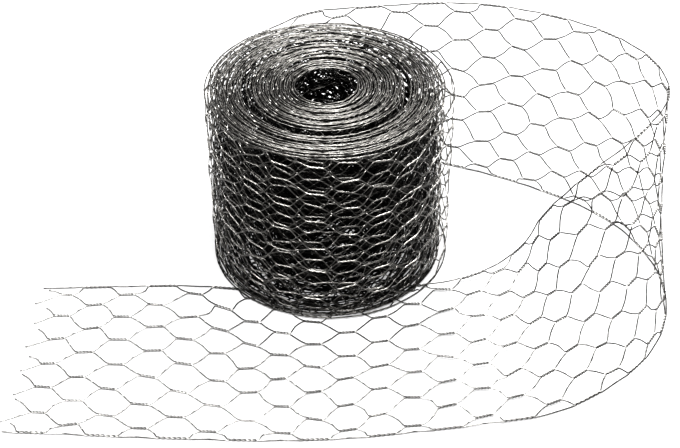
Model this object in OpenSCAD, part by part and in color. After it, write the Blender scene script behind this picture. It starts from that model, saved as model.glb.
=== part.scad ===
// Roll of hexagonal wire netting (chicken wire), standing on end. Its loose end leaves the back
// of the roll, swings round to the right and lies down flat in front, passing below the roll.
// Millimetres, +Z up, origin on the roll's axis at floor level.

/* [Netting] */
// Width of the netting, which is the height of the standing roll
netting_width = 152; // [120:1:185]
// Thickness of one layer of netting, over its twisted wires
netting_thickness = 1.6; // [1.2:0.1:2.4]

/* [Roll] */
// Outside diameter of the roll
roll_diameter = 184; // [150:1:225]
// Diameter of the bore through the middle of the turns
bore_diameter = 50; // [30:1:64]
// Number of turns between the bore and the outside, seen on both ends
turns = 40; // [16:1:48]
// Width of the groove between two turns on the ends, as a share of the turns' pitch
groove_share = 0.6; // [0.4:0.05:0.8]
// Depth of the groove between two turns on the ends
groove_depth = 1; // [0.4:0.1:1.1]

/* [Loose end] */
// Slices in each length of the loose strip between two stations
slices = 4; // [2:1:8]

/* [Hidden] */

roll_radius = roll_diameter / 2;
bore_radius = bore_diameter / 2;
turn_pitch = (roll_radius - bore_radius) / turns;
groove_width = groove_share * turn_pitch;
round_fn = 180;
facets_across = 4;

// The roll and the netting that the stations below were laid out for. A bigger roll pushes the
// stations outwards, and a wider netting lengthens the line from the floor edge to the far edge.
laid_out_radius = 92;
laid_out_width = 152;

// Stations along the loose strip, about 50 mm apart, from its cut end to where it joins the roll:
// [floor edge x, floor edge y, far edge x, far edge y, far edge z].
stations = [
    [-232, -208, -226,  -58,   0],
    [-184, -210, -180,  -58,   0],
    [-133, -213, -130,  -60,   0],
    [ -82, -215,  -80,  -63,   0],
    [ -32, -216,  -36,  -64,   0],
    [  16, -214,   14,  -62,   0],
    [  63, -208,   66,  -56,   0],
    [ 113, -201,  116,  -49,   6],
    [ 165, -189,  151,  -43,  28],
    [ 212, -159,  166,  -56,  76],
    [ 246, -121,  193,  -63, 120],
    [ 262,  -77,  232,  -40, 141],
    [ 261,  -31,  255,   -3, 148],
    [ 243,   11,  251,   42, 149],
    [ 211,   45,  224,   81, 148],
    [ 172,   71,  184,  107, 148],
    [ 130,   91,  135,  121, 150],
    [  85,  107,   85,  121, 152],
    [  36,  110,   34,  115, 152],
    [ -12,  101,  -14,  105, 152],
    [ -54,   73,  -55,   73, 152],
];

// Point p of the plan, moved outwards with the roll's radius.
function plan(p) = p + (roll_radius - laid_out_radius) * p / norm(p);

function floor_station(i) = let (s = stations[i], p = plan([s[0], s[1]])) [p.x, p.y, 0];

function far_station(i) = let (s = stations[i], a = [s[0], s[1], 0], b = [s[2], s[3], s[4]])
    floor_station(i) + (b - a) * netting_width / laid_out_width;

// The two edges as lists with one more point before the first station and after the last.
function with_ends(list) = let (n = len(list) - 1)
    concat([2 * list[0] - list[1]], list, [2 * list[n] - list[n - 1]]);

floor_edge = with_ends([for (i = [0:len(stations) - 1]) floor_station(i)]);
far_edge = with_ends([for (i = [0:len(stations) - 1]) far_station(i)]);

// Smooth curve through the points of a list, at u stations from the first one.
function curve(list, u) =
    let (i = min(floor(u), len(list) - 4), t = u - i,
         a = list[i], b = list[i + 1], c = list[i + 2], d = list[i + 3])
    b + t * (c - a) / 2 + t * t * (2 * a - 5 * b + 4 * c - d) / 2
    + t * t * t * (3 * b - a - 3 * c + d) / 2;

function unit(v) = v / norm(v);

// Direction square to the strip at u: upwards where it lies flat, away from the roll where it stands.
function facing(u) =
    let (step = 0.05, u0 = max(u - step, 0), u1 = min(u + step, len(stations) - 1),
         along = curve(floor_edge, u1) + curve(far_edge, u1)
                 - curve(floor_edge, u0) - curve(far_edge, u0),
         across = curve(far_edge, u) - curve(floor_edge, u))
    unit(cross(along, across));

function above_floor(p) = [p.x, p.y, max(p.z, 0)];

// Outline of the strip's section at u: from the floor edge to the far edge on the inner face, which
// is the underside where the strip lies flat, and back again one layer further out.
function section(u) =
    let (low = above_floor(curve(floor_edge, u)), high = above_floor(curve(far_edge, u)),
         outwards = netting_thickness * facing(u),
         inner = [for (q = [0:facets_across]) low + (high - low) * q / facets_across])
    concat(inner, [for (q = [facets_across:-1:0]) above_floor(inner[q] + outwards)]);

module loose_strip() {
    rings = (len(stations) - 1) * slices;
    corners = 2 * (facets_across + 1);
    points = [for (k = [0:rings]) each section(k / slices)];
    sides = [for (k = [0:rings - 1], j = [0:corners - 1])
        let (a = corners * k + j, b = corners * k + (j + 1) % corners)
        each [[a, b + corners, b], [a, a + corners, b + corners]]];
    last = corners * rings;
    ends = [for (j = [0:facets_across - 1])
        let (a = j, b = j + 1, c = corners - 2 - j, d = corners - 1 - j)
        each [[a, b, c], [a, c, d], [last + a, last + c, last + b], [last + a, last + d, last + c]]];
    polyhedron(points, concat(sides, ends), convexity = 6);
}

// One end of the roll's section, from the bore outwards: a flat for each turn, a groove between
// two turns. The bore's edge and the outer edge stay sharp.
function end_profile(z, inwards) = concat(
    [[bore_radius, z]],
    [for (i = [1:turns - 1]) let (r = bore_radius + i * turn_pitch, half = groove_width / 2)
        each [[r - half, z], [r, z + inwards * groove_depth], [r + half, z]]],
    [[roll_radius, z]]);

function reversed(list) = [for (i = [len(list) - 1:-1:0]) list[i]];

module wound_turns() {
    rotate_extrude($fn = round_fn)
        polygon(concat(end_profile(0, 1), reversed(end_profile(netting_width, -1))));
}

module netting() {
    color([0.30, 0.29, 0.28])
        union() {
            wound_turns();
            loose_strip();
        }
}

netting();
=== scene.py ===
import math

import bpy
import numpy as np
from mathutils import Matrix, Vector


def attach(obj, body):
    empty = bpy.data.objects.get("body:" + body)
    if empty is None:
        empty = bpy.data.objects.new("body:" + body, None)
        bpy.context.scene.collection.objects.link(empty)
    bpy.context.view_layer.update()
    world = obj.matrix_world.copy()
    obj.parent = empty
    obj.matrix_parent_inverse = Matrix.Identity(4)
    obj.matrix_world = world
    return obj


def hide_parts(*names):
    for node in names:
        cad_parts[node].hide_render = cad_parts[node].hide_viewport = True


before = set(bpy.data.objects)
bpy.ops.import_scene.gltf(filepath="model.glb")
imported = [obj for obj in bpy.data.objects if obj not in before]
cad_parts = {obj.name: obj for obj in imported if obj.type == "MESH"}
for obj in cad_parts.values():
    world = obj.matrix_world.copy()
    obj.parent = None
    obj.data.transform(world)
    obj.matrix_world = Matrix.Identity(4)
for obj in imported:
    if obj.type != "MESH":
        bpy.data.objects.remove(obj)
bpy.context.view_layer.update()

random = np.random.default_rng(7)

# The netting: twisted hexagons, with a wire twisted into each edge. Metres.
WIDTH = 0.152
WIRE_RADIUS = 0.00045
COLUMN = 0.0254          # from one column of twists to the next
HALF_TWIST = 0.25        # half the length of a twist, in columns
HALF_EDGE_TWIST = 0.43
MESHES_ACROSS = 6.1
EVEN_LANES = np.array([0, 0.8, 1.8, 2.8, 3.8, 4.8, 5.8]) / MESHES_ACROSS
ODD_LANES = np.array([0.3, 1.3, 2.3, 3.3, 4.3, 5.3, 6.1]) / MESHES_ACROSS
LANES = 7
OPEN_TWIST = 0.0006      # from the middle of a twist to the middle of each of its wires, loose strip
TIGHT_TWIST = 0.00032    # the same on the roll

# How wires are drawn: the half turns of a twist, its radius, the points along it, the sides of a
# wire, the points on the bend beside a twist, and the share of painted highlight on the plain lengths,
# where two wires cross, and on the outsides of the twist; it paints glints on the zinc.
STRIP = dict(half_turns=5, twist_radius=OPEN_TWIST, steps=21, sides=6, bends=3, shares=(1.0, 0.0, 0.9))
STRIP_EDGE = dict(STRIP, half_turns=6, steps=25, bends=4, shares=(0.3, 0.0, 0.85))
OUTERMOST = dict(half_turns=3, twist_radius=TIGHT_TWIST, steps=12, sides=4, bends=2, shares=(0.1, 0.6, 0.6))
OUTER = dict(OUTERMOST, steps=11)
MIDDLE = dict(OUTERMOST, steps=9, sides=3, bends=1)
INNER = dict(MIDDLE, shares=(0.0, 0.25, 0.25))
ROLL_EDGE = dict(OUTERMOST, half_turns=4, steps=13, shares=(1.0, 1.0, 1.0))
PULL = 0.6               # how far a bend follows the twist's direction
ALONG_TWIST = 0.9        # the twist's share in the direction in which a wire leaves it
CUT_STEPS = 8            # points along a cut end

# How uneven the netting is: a twist's place along it in columns, its place across and its tilt in
# shares of the width, and its place out of the netting and the bow of a diagonal in metres.
STRIP_SHARE = 0.65       # the loose strip's share of the unevenness
ALONG_SPREAD, ALONG_WANDER = 0.045, 0.07
ACROSS_SPREAD, ACROSS_WANDER = 0.008, 0.010
TILT_SPREAD = 0.007
OUT_SPREAD = 0.00035
EDGE_OUT_SHARE = 0.3
BOW_SPREAD = 0.0007
SHORTEST, LONGEST = 0.88, 1.1    # shares of the half length of a twist
STIFF, EDGE_STIFF = 0.8, 0.35    # how nearly straight a twist is, inside the net and on its edges
STRAIGHT, CURVED = 0.55, 0.45    # how a diagonal's middle is shared by a straight line and the net

# The loose strip: floor edge x, y and far edge x, y, z every two columns from the cut end to the roll.
STATIONS = np.array([
    [-0.232, -0.208, -0.226, -0.058, 0.000],
    [-0.184, -0.210, -0.180, -0.058, 0.000],
    [-0.133, -0.213, -0.130, -0.060, 0.000],
    [-0.082, -0.215, -0.080, -0.063, 0.000],
    [-0.032, -0.216, -0.036, -0.064, 0.000],
    [0.016, -0.214, 0.014, -0.062, 0.000],
    [0.063, -0.208, 0.066, -0.056, 0.000],
    [0.113, -0.201, 0.116, -0.049, 0.006],
    [0.165, -0.189, 0.151, -0.043, 0.028],
    [0.212, -0.159, 0.166, -0.056, 0.076],
    [0.246, -0.121, 0.193, -0.063, 0.120],
    [0.262, -0.077, 0.232, -0.040, 0.141],
    [0.261, -0.031, 0.255, -0.003, 0.148],
    [0.243, 0.011, 0.251, 0.042, 0.149],
    [0.211, 0.045, 0.224, 0.081, 0.148],
    [0.172, 0.071, 0.184, 0.107, 0.148],
    [0.130, 0.091, 0.135, 0.121, 0.150],
    [0.085, 0.107, 0.085, 0.121, 0.152],
    [0.036, 0.110, 0.034, 0.115, 0.152],
    [-0.012, 0.101, -0.014, 0.105, 0.152],
    [-0.054, 0.073, -0.055, 0.073, 0.152],
])
JOIN = 39            # column where the strip meets the roll; the cut end is one column before column 0
LAYER = 0.0010       # height of a layer's middle over what it lies on
SWAY = 0.0007        # how far the strip sways out of its surface
FLAT = 11            # up to this column the strip lies flat on the floor
RISEN = 15           # from this column on its far edge is well off the floor
BULGE = 0.006        # how far the far edge bulges out where it lies flat
BULGE_AT = 4         # column in which it bulges most
BULGE_SPREAD = 2.4   # columns to either side over which it does so

# The roll: the same netting wound inwards from the join, anticlockwise seen from above.
ROLL_RADIUS = 0.092
BORE_RADIUS = 0.025
TURNS = 40
JOIN_ANGLE = math.atan2(0.073, -0.0545)
TAPER = 0.0018       # narrower at the top and wider at the floor by this much
PACKED_TURNS = 3     # outer turns whose columns lie over each other
COLUMNS_ROUND = 23
SPLIT_TURN = 17      # a looser place between the outer and the inner turns
SPLIT_GAP = 0.0062
STAND_OFF = 0.0045   # how far the outermost turn stands off on the right
UNROUND = 0.0006     # how far the outer turns wander from round
RIPPLE = 0.0006      # how far every turn ripples
SLIP = 0.0012        # how far the turns slip up and down
CLOSE_COLUMNS = 10   # first columns of the roll, which are a little closer together
CLOSE_SHARE = 0.978
FLOOR_GAP = 0.0006   # height of the roll's lower edge over the floor, at the back
FRONT_LIFT = 0.0009  # how much higher the roll stands at its axis, and twice that at the front

# Turns at which one mesh of the roll ends and the next begins.
PIECE_TURNS = (3, 6, SPLIT_TURN + 1, 28)


def waves(count, low, high, seed):
    """Frequencies, phases and shares of a smooth random curve."""
    r = np.random.default_rng(seed)
    share = r.uniform(0.4, 1, count)
    return r.uniform(low, high, count), r.uniform(0, 2 * math.pi, count), share / share.sum() * 1.6


def wander(x, wave):
    """A smooth random curve at x, mostly within -1 to 1."""
    x = np.asarray(x, float)
    return sum(a * np.sin(f * x + p) for f, p, a in zip(*wave))


ROUND_WAVE = waves(6, 0.15, 0.9, 21)
RIPPLE_WAVE = waves(9, 1.5, 7.5, 22)
SLIP_WAVE = waves(7, 0.2, 1.6, 23)
SHIFT_WAVE = waves(6, 0.3, 1.4, 24)
STRIP_WAVES = [waves(6, 0.2, 1.1, 31 + i) for i in range(2)]


def smooth(x):
    x = np.clip(x, 0, 1)
    return x * x * (3 - 2 * x)


def turn_radius(angle):
    """Distance from the roll's axis at an angle wound on from the join."""
    turn = angle / (2 * math.pi)
    place = angle + JOIN_ANGLE
    front = 0.5 - 0.5 * np.sin(place)
    gap = SPLIT_GAP * (0.45 + 0.55 * front)
    pitch = (ROLL_RADIUS - BORE_RADIUS - gap) / TURNS
    r = ROLL_RADIUS - pitch * turn - gap * smooth((turn - SPLIT_TURN) / 1.3 + 0.5)
    # The outermost turn stands off on the right.
    loose = smooth(turn / 0.35) * smooth((1.02 - turn) / 0.3)
    right = np.exp(-((np.mod(place + math.pi, 2 * math.pi) - math.pi + 0.2) / 0.9) ** 2)
    r = r + STAND_OFF * loose * right
    # The outer turns aren't quite round, and every turn ripples.
    outer = smooth((7 - turn) / 4) * smooth(turn / 0.5)
    r = r + outer * UNROUND * wander(angle, ROUND_WAVE)
    return r + RIPPLE * wander(angle, RIPPLE_WAVE) * smooth(turn / 0.3)


def column_angles():
    """Angle wound on from the join at each column of the roll."""
    angles = [0.0]
    while angles[-1] < TURNS * 2 * math.pi:
        a = angles[-1]
        if a < PACKED_TURNS * 2 * math.pi:
            step = 2 * math.pi / COLUMNS_ROUND
            if len(angles) < CLOSE_COLUMNS:
                step *= CLOSE_SHARE
        else:
            step = COLUMN / turn_radius(np.array(a))
        angles.append(a + float(step))
    return np.array(angles)


ANGLES = column_angles()
COLUMNS = JOIN + len(ANGLES) - 1
EDGES = np.vstack([2 * STATIONS[0] - STATIONS[1], STATIONS, 2 * STATIONS[-1] - STATIONS[-2]])


def strip_edges(c):
    """Points on the strip's floor edge and far edge at column c."""
    u = np.clip((c + 1) / 2, -1, len(STATIONS) - 1)
    i = np.clip(np.floor(u), 0, len(STATIONS) - 2).astype(int)
    t = (u - i)[..., None]
    p, q, r, s = EDGES[i], EDGES[i + 1], EDGES[i + 2], EDGES[i + 3]
    e = (q + t * (r - p) / 2 + t ** 2 * (2 * p - 5 * q + 4 * r - s) / 2
         + t ** 3 * (3 * q - p - 3 * r + s) / 2)
    low = np.concatenate([e[..., :2], np.zeros(e.shape[:-1] + (1,))], -1)
    return low, e[..., 2:]


def strip_ruled(c, v):
    low, high = strip_edges(c)
    return low + (high - low) * v[..., None]


def strip_point(c, v):
    """Middle of the netting on the loose strip, a layer above its ruled surface."""
    step = 0.05
    along = strip_ruled(c + step, v) - strip_ruled(c - step, v)
    low, high = strip_edges(c)
    normal = np.cross(along, high - low)
    normal /= np.linalg.norm(normal, axis=-1, keepdims=True)
    flat = smooth((RISEN - c) / (RISEN - FLAT))
    lift = LAYER + SWAY * (1 + wander(c * 1.3 + 4 * v, STRIP_WAVES[0])) * (0.35 + 0.65 * (1 - flat))
    bulge = flat * BULGE * np.exp(-((c - BULGE_AT) / BULGE_SPREAD) ** 2) * np.clip(v, 0, 1) ** 2
    return strip_ruled(c, v) + normal * lift[..., None] + bulge[..., None] * unit(high - low)


def roll_point(c, v):
    """Middle of the netting on the roll."""
    angle = np.interp(c - JOIN, np.arange(len(ANGLES)), ANGLES)
    turn = angle / (2 * math.pi)
    place = angle + JOIN_ANGLE
    r = turn_radius(angle) - TAPER * (2 * v - 1) * smooth((turn + 1) / 6)
    x, y = r * np.cos(place), r * np.sin(place)
    lift = FRONT_LIFT * (1 - y / ROLL_RADIUS) + FLOOR_GAP
    # The lower edge slips down by less than its lift, so that it stays off the floor.
    slip = SLIP * wander(angle, SLIP_WAVE) * smooth(turn)
    z = v * WIDTH + lift + np.maximum(slip, -lift * 0.6 - 0.0004 * (v > 0.5))
    return np.stack([x, y, z], -1)


def surface(c, v):
    """Point of the netting's middle at column c and the share v of its width."""
    c, v = np.broadcast_arrays(np.asarray(c, float), np.asarray(v, float))
    on_strip, on_roll = strip_point(np.minimum(c, JOIN), v), roll_point(np.maximum(c, JOIN), v)
    # The step between strip and roll at the join fades out over the next few columns.
    join = np.full_like(c, JOIN)
    step = strip_point(join, v) - roll_point(join, v)
    fade = np.exp(-np.maximum(c - JOIN, 0) / 2.5)[..., None]
    p = np.where((c < JOIN)[..., None], on_strip, on_roll + step * fade)
    p[..., 2] = np.maximum(p[..., 2], OPEN_TWIST + WIRE_RADIUS)
    return p


def unit(a):
    return a / np.maximum(np.linalg.norm(a, axis=-1, keepdims=True), 1e-12)


def facing(c, v):
    """Direction square to the netting, away from the roll's axis where it is wound."""
    along = surface(c + 0.04, v) - surface(c - 0.04, v)
    return unit(np.cross(along, surface(c, v + 0.01) - surface(c, v - 0.01)))


def lane(column, index):
    """Share of the width at which a twist lies."""
    return np.where(column % 2 == 0, EVEN_LANES[index], ODD_LANES[index])


# Twists of the whole net, one row for each column and one entry for each lane.
columns = np.arange(COLUMNS)
col, lan = np.meshgrid(columns, np.arange(LANES), indexing="ij")
is_edge = ((col % 2 == 0) & (lan == 0)) | ((col % 2 == 1) & (lan == LANES - 1))
uneven = np.where(col < JOIN, STRIP_SHARE, 1)
twist_c = col + uneven * (random.normal(0, ALONG_SPREAD, col.shape)
                          + ALONG_WANDER * wander(col * 0.9 + lan * 1.7, SHIFT_WAVE))
twist_v = lane(col, lan) + np.where(is_edge, 0, uneven) * (
    random.normal(0, ACROSS_SPREAD, col.shape)
    + ACROSS_WANDER * wander(col * 0.7 + lan * 2.1, STRIP_WAVES[1]))
twist_tilt = np.where(is_edge, 0, uneven) * random.normal(0, TILT_SPREAD, col.shape)
twist_half = np.where(is_edge, HALF_EDGE_TWIST, HALF_TWIST * random.uniform(SHORTEST, LONGEST, col.shape))
twist_out = np.where(is_edge, EDGE_OUT_SHARE, 1) * random.normal(0, OUT_SPREAD, col.shape)


def axis_points(k, i, steps):
    """Middle line of the twists k, i, nearly straight from end to end."""
    tau = np.linspace(-1, 1, steps)
    c = twist_c[k, i][:, None] + twist_half[k, i][:, None] * tau
    v = twist_v[k, i][:, None] + twist_tilt[k, i][:, None] * tau
    p = surface(c, v)
    chord = p[:, :1] + (p[:, -1:] - p[:, :1]) * (tau[None, :, None] + 1) / 2
    stiff = np.where(is_edge[k, i], EDGE_STIFF, STIFF)[:, None, None]
    mid = facing(twist_c[k, i], twist_v[k, i])
    return p + (chord - p) * stiff + (mid * twist_out[k, i][:, None])[:, None, :]


end_points = axis_points(col.ravel(), lan.ravel(), 3).reshape(COLUMNS, LANES, 3, 3)
left_end, right_end = end_points[:, :, 0], end_points[:, :, 2]

# Diagonal wires between column k and k + 1: number d joins lane (d + 1) // 2 of the even column to
# lane d // 2 of the odd one.
DIAGONALS = 2 * LANES - 1
g, d = np.meshgrid(np.arange(COLUMNS - 1), np.arange(DIAGONALS), indexing="ij")
from_lane = np.where(g % 2 == 0, (d + 1) // 2, d // 2)
to_lane = np.where(g % 2 == 0, d // 2, (d + 1) // 2)
start, stop = right_end[g, from_lane], left_end[g + 1, to_lane]
bow = random.normal(0, BOW_SPREAD, g.shape)[..., None]
out_of_net = facing(g + 0.5, (lane(g, from_lane) + lane(g + 1, to_lane)) / 2)
across_wire = unit(np.cross(stop - start, out_of_net))
outside = surface(g + 0.5, (twist_v[g, from_lane] + twist_v[g + 1, to_lane]) / 2)
middle = (start + stop) / 2 * STRAIGHT + outside * CURVED + across_wire * bow
diagonal_way = unit(stop - start)


def tubes(lines, normals, painted_glint, sides):
    """Wires along lines, an array of wires by points by 3, as wide on average as round ones. Both
    ends are capped. The fourth argument is the share of painted highlight at each point, from 0 to 1,
    a painted glint."""
    radius = WIRE_RADIUS * math.pi / (sides * math.sin(math.pi / sides))
    lines[..., 2] = np.maximum(lines[..., 2], radius)
    count, steps, _ = lines.shape
    way = np.empty_like(lines)
    way[:, 1:-1] = lines[:, 2:] - lines[:, :-2]
    way[:, 0], way[:, -1] = lines[:, 1] - lines[:, 0], lines[:, -1] - lines[:, -2]
    way = unit(way)
    side = unit(np.cross(way, normals))
    up = np.cross(side, way)
    turn = np.arange(sides) * 2 * math.pi / sides + math.pi / sides
    ring = (side[:, :, None] * np.cos(turn)[None, None, :, None]
            + up[:, :, None] * np.sin(turn)[None, None, :, None])
    verts = (lines[:, :, None] + radius * ring).reshape(-1, 3)
    base = np.arange(count)[:, None, None] * steps * sides + np.arange(steps - 1)[None, :, None] * sides
    a, b = base + np.arange(sides), base + (np.arange(sides) + 1) % sides
    quads = np.stack([a, b, b + sides, a + sides], -1).reshape(-1, 4)
    first = (np.arange(count) * steps * sides)[:, None] + np.arange(sides)[::-1]
    last = (np.arange(count) * steps * sides + (steps - 1) * sides)[:, None] + np.arange(sides)
    painted_glint = np.broadcast_to(np.asarray(painted_glint, float), (count, steps))
    return verts, quads, np.concatenate([first, last]), np.repeat(painted_glint.ravel(), sides)


def mesh_piece(name, parts, material):
    """One mesh from several sets of tubes."""
    verts, loops, sizes, painted_glint, offset = [], [], [], [], 0
    for v, quads, caps, shares in parts:
        verts.append(v)
        painted_glint.append(shares)
        loops += [(quads + offset).ravel(), (caps + offset).ravel()]
        sizes += [np.full(len(quads), 4), np.full(len(caps), caps.shape[1])]
        offset += len(v)
    verts, loops, sizes = np.concatenate(verts), np.concatenate(loops), np.concatenate(sizes)
    mesh = bpy.data.meshes.new(name)
    mesh.vertices.add(len(verts))
    mesh.vertices.foreach_set("co", verts.astype(np.float32).ravel())
    mesh.loops.add(len(loops))
    mesh.loops.foreach_set("vertex_index", loops.astype(np.int32))
    mesh.polygons.add(len(sizes))
    mesh.polygons.foreach_set("loop_start", (np.cumsum(sizes) - sizes).astype(np.int32))
    mesh.polygons.foreach_set("use_smooth", np.full(len(sizes), True))
    mesh.update(calc_edges=True)
    # Each point's share of painted highlight, the painted glints read by the wire's material.
    attribute = mesh.attributes.new("painted_glint", "FLOAT", "POINT")
    attribute.data.foreach_set("value", np.concatenate(painted_glint).astype(np.float32))
    mesh.materials.append(material)
    piece = bpy.data.objects.new(name, mesh)
    bpy.context.scene.collection.objects.link(piece)
    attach(piece, "root")
    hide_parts("netting")


def hermite(p0, t0, p1, t1, steps):
    """Curve from p0 to p1 with end directions t0 and t1, without its two end points."""
    s = (np.arange(1, steps + 1) / (steps + 1))[None, :, None]
    return ((2 * s ** 3 - 3 * s ** 2 + 1) * p0[:, None] + (s ** 3 - 2 * s ** 2 + s) * t0[:, None]
            + (3 * s ** 2 - 2 * s ** 3) * p1[:, None] + (s ** 3 - s ** 2) * t1[:, None])


def into_twist(p, way, end, twist_way, bends):
    """Bend from p to the end of a wire in a twist, without its two end points."""
    reach = np.linalg.norm(end - p, axis=-1, keepdims=True)
    return hermite(p, way * reach, end, twist_way * reach * PULL, bends)


def out_of_twist(end, twist_way, p, way, bends):
    """Bend from the end of a wire in a twist to p, without its two end points."""
    reach = np.linalg.norm(end - p, axis=-1, keepdims=True)
    return hermite(end, twist_way * reach * PULL, p, way * reach, bends)


def wound(centre, twist_radius, turn, first, second):
    """A wire wound round centre, at first where turn is 0 and at second a quarter turn on."""
    return centre + twist_radius * (
        np.cos(turn)[..., None] * first[:, None] + np.sin(turn)[..., None] * second[:, None])


def painted_glint_along(shares, before, after, turn):
    """Share of painted highlight along a wire with so many points before and after its twist: painted
    glints on the twist, by the shares for its plain lengths, its crossings and its outsides.
    """
    plain, crossing, outside = shares
    in_twist = crossing + (outside - crossing) * np.abs(np.cos(turn))
    return np.concatenate([np.full(before, plain), in_twist, np.full(after, plain)])


def twist_frame(k, i, steps):
    """Middle line of the twists k, i, and their directions along, up and out of the netting."""
    centre = axis_points(k, i, steps)
    along = unit(centre[:, -1] - centre[:, 0])
    out = facing(twist_c[k, i], twist_v[k, i])
    return centre, along, unit(np.cross(out, along)), out


def twisted_wires(k, i, half_turns, twist_radius, steps, sides, bends, shares):
    """Both wires of the inner twists k, i, each out to the middle of its two diagonals."""
    centre, along, up, out = twist_frame(k, i, steps)
    tau = np.linspace(0, 1, steps)
    low = np.where(k % 2 == 0, 2 * i - 1, 2 * i)
    painted_glint = painted_glint_along(shares, bends + 1, bends + 1, half_turns * tau * math.pi)
    made = []
    for wire in range(2):
        strand = wound(centre, twist_radius, (half_turns * tau[None] + wire) * math.pi, -up, -out)
        d_in, d_out = (low, low + 1) if wire == 0 else (low + 1, low)
        m_in, m_out = middle[k - 1, d_in], middle[k, d_out]
        w_in, w_out = diagonal_way[k - 1, d_in], diagonal_way[k, d_out]
        head = into_twist(m_in, w_in, strand[:, 0], unit(along * ALONG_TWIST + w_in), bends)
        tail = out_of_twist(strand[:, -1], unit(along * ALONG_TWIST + w_out), m_out, w_out, bends)
        line = np.concatenate([m_in[:, None], head, strand, tail, m_out[:, None]], 1)
        made.append(tubes(line, out[:, None], painted_glint, sides))
    return made


def edge_wires(k, half_turns, twist_radius, steps, sides, bends, shares):
    """The mesh wire and the edge wire of the edge twists in columns k. The edge wire runs from the
    middle of the column before to the middle of the one after."""
    even = k % 2 == 0
    centre, along, up, out = twist_frame(k, np.where(even, 0, LANES - 1), steps)
    inwards = up * np.where(even, 1, -1)[:, None]
    d = np.where(even, 0, DIAGONALS - 1)
    v = np.where(even, 0.0, 1.0)
    tau = np.linspace(0, 1, steps)
    painted_glint = painted_glint_along(shares, bends + 1, bends + 1, half_turns * tau * math.pi)
    made = []
    for wire in range(2):
        strand = wound(centre, twist_radius, (half_turns * tau[None] + wire) * math.pi, inwards, out)
        if wire == 0:
            m_in, m_out = middle[k - 1, d], middle[k, d]
            w_in, w_out = diagonal_way[k - 1, d], diagonal_way[k, d]
        else:
            m_in, m_out = surface(k - 1, v), surface(k + 1, v)
            w_in = unit(surface(k - 0.9, v) - surface(k - 1.1, v))
            w_out = unit(surface(k + 1.1, v) - surface(k + 0.9, v))
        head = into_twist(m_in, w_in, strand[:, 0], unit(along + w_in), bends)
        tail = out_of_twist(strand[:, -1], unit(along + w_out), m_out, w_out, bends)
        line = np.concatenate([m_in[:, None], head, strand, tail, m_out[:, None]], 1)
        made.append(tubes(line, out[:, None], painted_glint, sides))
    return made


def first_column():
    """Both wires of the twists in column 0, from the ends where the netting was cut to the middle of
    their right diagonals, and the start of the far edge's wire."""
    cut = np.random.default_rng(12)
    i = np.arange(LANES)
    centre, along, up, out = twist_frame(np.zeros(LANES, int), i, STRIP["steps"])
    tau = np.linspace(0, 1, STRIP["steps"])
    s = np.linspace(1, 1 / CUT_STEPS, CUT_STEPS)[None, :, None]
    half_turns = np.where(i == 0, STRIP_EDGE["half_turns"], STRIP["half_turns"])
    painted_glint = painted_glint_along(STRIP["shares"], CUT_STEPS, STRIP["bends"] + 1, STRIP["half_turns"] * tau * math.pi)
    # A cut end aims at a point some columns back and some meshes aside. It reaches a share of the way
    # there, or past it, and the second wire's ends are hooked.
    made = []
    for wire in range(2):
        turn = (half_turns[:, None] * tau + wire) * math.pi
        strand = wound(centre, OPEN_TWIST, turn, -up, -out)
        if wire == 0:
            back, aside = -0.82, -0.32
            reach, hook = cut.uniform(0.95, 1.6, LANES), np.zeros(LANES)
            m_out, w_out = middle[0, 2 * i], diagonal_way[0, 2 * i]
            m_out[0], w_out[0] = surface(1.0, 0.0), unit(surface(1.1, 0.0) - surface(0.9, 0.0))
        else:
            back, aside = -0.62, 0.5
            reach, hook = cut.uniform(0.65, 1.1, LANES), cut.uniform(0.001, 0.005, LANES)
            m_out, w_out = middle[0, 2 * i - 1], diagonal_way[0, 2 * i - 1]
            m_out[0], w_out[0] = middle[0, 0], diagonal_way[0, 0]
        goal = surface(np.full(LANES, back), np.clip(twist_v[0] + aside / MESHES_ACROSS, 0, 1))
        stub = (goal - strand[:, 0]) * reach[:, None]
        bend = hook[:, None] * np.array([-1.0, -0.4, 0.1])
        head = strand[:, :1] + stub[:, None] * s + bend[:, None] * s ** 4
        tail = out_of_twist(strand[:, -1], unit(along + w_out), m_out, w_out, STRIP["bends"])
        line = np.concatenate([head, strand, tail, m_out[:, None]], 1)
        made.append(tubes(line, out[:, None], painted_glint, STRIP["sides"]))
    far_c = np.linspace(-0.9, 0, 14)[None]
    far_v = np.ones_like(far_c)
    plain = STRIP_EDGE["shares"][0]
    made.append(tubes(surface(far_c, far_v), facing(far_c, far_v), plain, STRIP_EDGE["sides"]))
    return made


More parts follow.
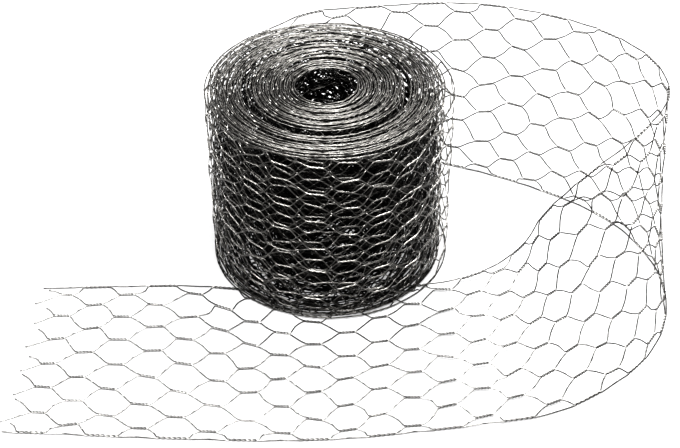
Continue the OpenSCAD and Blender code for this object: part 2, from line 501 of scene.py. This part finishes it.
class Graph:
    """Shorthands for the nodes of one material or world."""

    def __init__(self, owner):
        owner.use_nodes = True
        self.nodes, self.links = owner.node_tree.nodes, owner.node_tree.links

    def noise(self, scale, detail, roughness=0.5):
        node = self.nodes.new("ShaderNodeTexNoise")
        node.inputs["Scale"].default_value = scale
        node.inputs["Detail"].default_value = detail
        node.inputs["Roughness"].default_value = roughness
        return node

    def ramp(self, source, stops):
        node = self.nodes.new("ShaderNodeValToRGB")
        ends = node.color_ramp.elements
        ends[0].position, ends[0].color = stops[0]
        ends[1].position, ends[1].color = stops[-1]
        for position, colour in stops[1:-1]:
            ends.new(position).color = colour
        self.links.new(source, node.inputs["Fac"])
        return node.outputs["Color"]

    def between(self, source, low, high, bottom, top, smooth_ends=False):
        """From bottom at low to top at high, and no further."""
        node = self.nodes.new("ShaderNodeMapRange")
        if smooth_ends:
            node.interpolation_type = "SMOOTHSTEP"
        node.inputs["From Min"].default_value, node.inputs["From Max"].default_value = low, high
        node.inputs["To Min"].default_value, node.inputs["To Max"].default_value = bottom, top
        self.links.new(source, node.inputs["Value"])
        return node.outputs["Result"]

    def span(self, source, low, high, top=1.0):
        """0 at low and before it, top at high and past it, with a smooth change between. Low may be
        the bigger of the two."""
        return self.between(source, low, high, 0.0, top, smooth_ends=True)

    def joined(self, operation, a, b):
        node = self.nodes.new("ShaderNodeMath")
        node.operation = operation
        self.links.new(a, node.inputs[0])
        self.links.new(b, node.inputs[1])
        return node.outputs["Value"]

    def mixed(self, share, a, b):
        node = self.nodes.new("ShaderNodeMix")
        node.data_type = "RGBA"
        self.links.new(share, node.inputs["Factor"])
        self.links.new(a, node.inputs[6])
        self.links.new(b, node.inputs[7])
        return node.outputs[2]


def patchy(low, middle, high):
    """Stops of a ramp over the noise of the patches, from a dark shade of zinc to a light one."""
    return [(0.30, low + (1,)), (0.52, middle + (1,)), (0.72, high + (1,))]


# Ramps of zinc tones over the patches. The first is painted shade deep inside the roll, the next two are
# the dark zinc of the roll and of the strip.
PAINTED_DEEP_SHADE = patchy((0.011, 0.0107, 0.010), (0.019, 0.0184, 0.0175), (0.032, 0.031, 0.029))
DULL = patchy((0.022, 0.0215, 0.020), (0.040, 0.0385, 0.0365), (0.072, 0.070, 0.066))
PLAIN = patchy((0.016, 0.0155, 0.015), (0.030, 0.029, 0.0275), (0.060, 0.058, 0.055))
# Painted highlights, pale on the strip and bright on the roll.
PAINTED_STRIP_HIGHLIGHT = patchy((0.08, 0.078, 0.075), (0.20, 0.196, 0.19), (0.34, 0.332, 0.32))
PAINTED_ROLL_HIGHLIGHT = patchy((0.14, 0.135, 0.128), (0.27, 0.262, 0.25), (0.44, 0.428, 0.41))


def roll_colour(graph, patches, radius, z, painted_glint):
    """Painted shade makes the zinc darkest deep inside the roll. Painted highlight makes it bright on the
    outer turns, most of all on their twists, less so on the top, and fading out towards the floor."""
    # Painted shade: away from the roll's side and top the zinc is darkest.
    near_side = graph.span(radius, ROLL_RADIUS - 0.018, ROLL_RADIUS - 0.010)
    below_top = graph.span(z, WIDTH - 0.010, WIDTH - 0.002)
    near_outside = graph.joined("MAXIMUM", near_side, below_top)
    painted_inner_shade = graph.mixed(near_outside, graph.ramp(patches, PAINTED_DEEP_SHADE), graph.ramp(patches, DULL))
    # Painted highlight on the side of the outer turns, fading out towards the floor as painted shade and
    # stopping short of the top, and weaker on the top edge.
    outer_turns = graph.span(radius, ROLL_RADIUS - 0.008, ROLL_RADIUS - 0.002)
    above_floor = graph.span(z, 0.0, 0.025)
    short_of_top = graph.span(z, WIDTH, WIDTH - 0.002)
    side = graph.joined("MULTIPLY", graph.joined("MULTIPLY", outer_turns, above_floor), short_of_top)
    shell = graph.joined("MAXIMUM", side, graph.span(z, WIDTH - 0.004, WIDTH - 0.001, top=0.27))
    share = graph.joined("MULTIPLY", shell, graph.between(painted_glint, 0.0, 1.0, 0.40, 1.0))
    return graph.mixed(share, painted_inner_shade, graph.ramp(patches, PAINTED_ROLL_HIGHLIGHT))


def strip_colour(graph, patches, radius, x, y, painted_glint):
    """Dark zinc, with painted highlights on the outsides of the twists and on the diagonals of the part
    that lies flat in front, clear of the roll."""
    # Painted highlight on the part that lies flat in front, clear of the roll.
    clear = graph.span(radius, 0.112, 0.150)
    in_front = graph.joined("MULTIPLY", clear, graph.span(y, -0.03, -0.056))
    flat_part = graph.joined("MULTIPLY", in_front, graph.span(x, 0.17, 0.11))
    # Painted highlights on the outsides of the twists.
    beads = graph.joined("MULTIPLY", graph.span(painted_glint, 0.35, 0.85, top=0.8), graph.span(painted_glint, 0.99, 0.92))
    share = graph.joined("MAXIMUM", graph.joined("MULTIPLY", flat_part, painted_glint), beads)
    return graph.mixed(share, graph.ramp(patches, PLAIN), graph.ramp(patches, PAINTED_STRIP_HIGHLIGHT))


def steel():
    """Galvanised steel wire, dulled: dark zinc with paler worn patches and a fine drawn grain. Painted
    shade darkens it deep inside the roll, and painted highlights brighten the outer turns, the twists
    and the part of the strip that lies flat.
    """
    material = bpy.data.materials.new("steel_wire")
    graph = Graph(material)
    nodes, links = graph.nodes, graph.links
    shader = nodes["Principled BSDF"]
    place = nodes.new("ShaderNodeTexCoord").outputs["Object"]
    patch_noise, grain = graph.noise(190, 4, 0.6), graph.noise(2600, 2)
    links.new(place, patch_noise.inputs["Vector"])
    links.new(place, grain.inputs["Vector"])
    patches = patch_noise.outputs["Fac"]
    # Each point's share of painted highlight, painted glints on the twists.
    painted_glint_node = nodes.new("ShaderNodeAttribute")
    painted_glint_node.attribute_name = "painted_glint"
    painted_glint = painted_glint_node.outputs["Fac"]
    split = nodes.new("ShaderNodeSeparateXYZ")
    links.new(place, split.inputs["Vector"])
    x, y, z = split.outputs["X"], split.outputs["Y"], split.outputs["Z"]
    flat = nodes.new("ShaderNodeCombineXYZ")
    links.new(x, flat.inputs["X"])
    links.new(y, flat.inputs["Y"])
    length = nodes.new("ShaderNodeVectorMath")
    length.operation = "LENGTH"
    links.new(flat.outputs["Vector"], length.inputs[0])
    radius = length.outputs["Value"]
    off_roll = graph.span(radius, ROLL_RADIUS + 0.004, ROLL_RADIUS + 0.012)
    colour = graph.mixed(off_roll, roll_colour(graph, patches, radius, z, painted_glint),
                         strip_colour(graph, patches, radius, x, y, painted_glint))
    links.new(colour, shader.inputs["Base Color"])
    links.new(graph.between(patches, 0.3, 0.7, 0.47, 0.33), shader.inputs["Roughness"])
    bump = nodes.new("ShaderNodeBump")
    bump.inputs["Strength"].default_value = 0.25
    bump.inputs["Distance"].default_value = 0.00006
    links.new(grain.outputs["Fac"], bump.inputs["Height"])
    links.new(bump.outputs["Normal"], shader.inputs["Normal"])
    shader.inputs["Metallic"].default_value = 1.0
    return material


wire = steel()
inner = ~is_edge
inner[0] = False
inner[-1] = False
roll_turn = np.interp(columns - JOIN, np.arange(len(ANGLES)), ANGLES) / (2 * math.pi)


def pick(low, high):
    """Inner twists of the columns from low up to high."""
    chosen = inner & (col >= low) & (col < high)
    return col[chosen], lan[chosen]


def column_at(turn):
    """First column past a number of turns wound on from the join."""
    return int(np.searchsorted(roll_turn, turn, side="right"))


strip_end = JOIN + 1
outermost_end, outer_end, middle_end, inner_end = (column_at(turn) for turn in PIECE_TURNS)
mesh_piece("netting_loose_strip", first_column() + twisted_wires(*pick(1, strip_end), **STRIP), wire)
mesh_piece("netting_outermost_turns", twisted_wires(*pick(strip_end, outermost_end), **OUTERMOST), wire)
mesh_piece("netting_outer_turns", twisted_wires(*pick(outermost_end, outer_end), **OUTER), wire)
mesh_piece("netting_middle_turns", twisted_wires(*pick(outer_end, middle_end), **MIDDLE), wire)
mesh_piece("netting_inner_turns", twisted_wires(*pick(middle_end, inner_end), **INNER), wire)
mesh_piece("netting_innermost_turns", twisted_wires(*pick(inner_end, COLUMNS), **INNER), wire)
mesh_piece("netting_strip_edges", edge_wires(np.arange(1, strip_end), **STRIP_EDGE), wire)
mesh_piece("netting_roll_edges", edge_wires(np.arange(strip_end, COLUMNS - 1), **ROLL_EDGE), wire)


def grey(value):
    return (value, value, value, 1)


def pale_floor():
    """A matt floor that glows a little, so that it stays as pale as in the photo's studio."""
    material = bpy.data.materials.new("floor")
    graph = Graph(material)
    shader = graph.nodes["Principled BSDF"]
    shader.inputs["Roughness"].default_value = 0.9
    shader.inputs["Specular IOR Level"].default_value = 0.1
    shader.inputs["Emission Color"].default_value = (1, 1, 1, 1)
    shader.inputs["Emission Strength"].default_value = 0.36
    colour = graph.ramp(graph.noise(3, 2).outputs["Fac"], [(0.3, grey(0.12)), (0.7, grey(0.126))])
    graph.links.new(colour, shader.inputs["Base Color"])
    bpy.ops.mesh.primitive_plane_add(size=40)
    floor = bpy.context.object
    floor.name = "floor"
    floor.data.materials.append(material)


def softbox(name, place, aim, size, power):
    """A rectangular light at place, turned towards aim."""
    data = bpy.data.lights.new(name, "AREA")
    data.shape = "RECTANGLE"
    data.size, data.size_y = size
    data.energy = power
    light = bpy.data.objects.new(name, data)
    light.location = place
    way = np.array(aim) - np.array(place)
    light.rotation_euler = Vector(way).to_track_quat("-Z", "Y").to_euler()
    bpy.context.scene.collection.objects.link(light)


def studio():
    """A dim sky, brighter overhead."""
    world = bpy.data.worlds.new("studio")
    bpy.context.scene.world = world
    graph = Graph(world)
    height = graph.nodes.new("ShaderNodeSeparateXYZ")
    direction = graph.nodes.new("ShaderNodeTexCoord").outputs["Generated"]
    graph.links.new(direction, height.inputs["Vector"])
    sky = graph.ramp(height.outputs["Z"], [(0.0, grey(0.05)), (0.5, grey(0.3)), (1.0, grey(1))])
    graph.links.new(sky, graph.nodes["Background"].inputs["Color"])
    graph.nodes["Background"].inputs["Strength"].default_value = 0.35


def photo_camera():
    """In front of the roll and above it, looking down at about 40 degrees."""
    data = bpy.data.cameras.new("camera")
    data.sensor_width = 36
    data.lens = 74.2
    camera = bpy.data.objects.new("camera", data)
    camera.location = (0.010, -0.875, 0.746)
    camera.rotation_euler = (math.radians(90 - 39.73), 0, 0)
    bpy.context.scene.collection.objects.link(camera)
    bpy.context.scene.camera = camera


pale_floor()
softbox("key", place=(0.16, -0.74, 2.98), aim=(0, -0.05, 0.1), size=(2.1, 0.4), power=380)
softbox("left", place=(-0.9, -0.4, 1.6), aim=(0, 0, 0.08), size=(0.3, 0.3), power=17)
softbox("right", place=(0.9, -0.25, 1.6), aim=(0, 0, 0.08), size=(0.3, 0.3), power=17)
softbox("back", place=(0.2, 0.9, 1.4), aim=(0, 0, 0.08), size=(1.2, 0.6), power=25)
softbox("fill", place=(0.4, 0.3, 1.7), aim=(-0.1, -0.1, 0), size=(0.4, 0.4), power=30)
studio()
photo_camera()
bpy.context.scene.view_settings.view_transform = "Standard"
bpy.context.scene.view_settings.look = "High Contrast"
